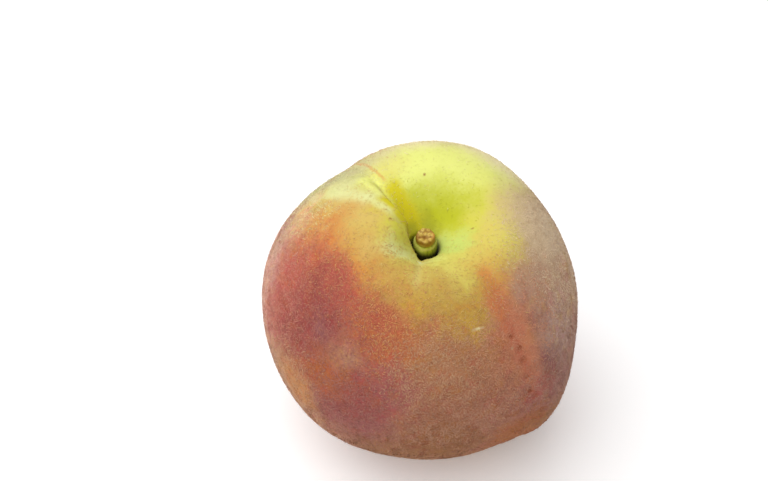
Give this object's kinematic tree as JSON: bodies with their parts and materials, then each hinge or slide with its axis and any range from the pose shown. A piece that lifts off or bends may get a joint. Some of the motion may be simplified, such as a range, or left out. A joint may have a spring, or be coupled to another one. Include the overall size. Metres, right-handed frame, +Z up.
{
  "type": "peach",
  "caption": "Ripe fuzzy peach with a deep stem cavity, a suture groove, a low keel down one side and a short stub of stalk.",
  "frame": {"origin": "middle of the small flat spot that the fruit rests on", "axes": "+Z up from the surface; the stalk's axis leans 15 degrees from +Z towards -Y, and the keel is at the front right, towards +X and -Y"},
  "size_m": [0.0741, 0.0734, 0.07],
  "materials": {
    "skin": "matt fuzzy skin, yellow-green round the cavity and blushed red to mauve on the sides",
    "stalk": "dry matt stub, green at the side and tan on the scar"
  },
  "bodies": {
    "root": {"fruit": "skin", "stem": "stalk"}
  },
  "joints": []
}
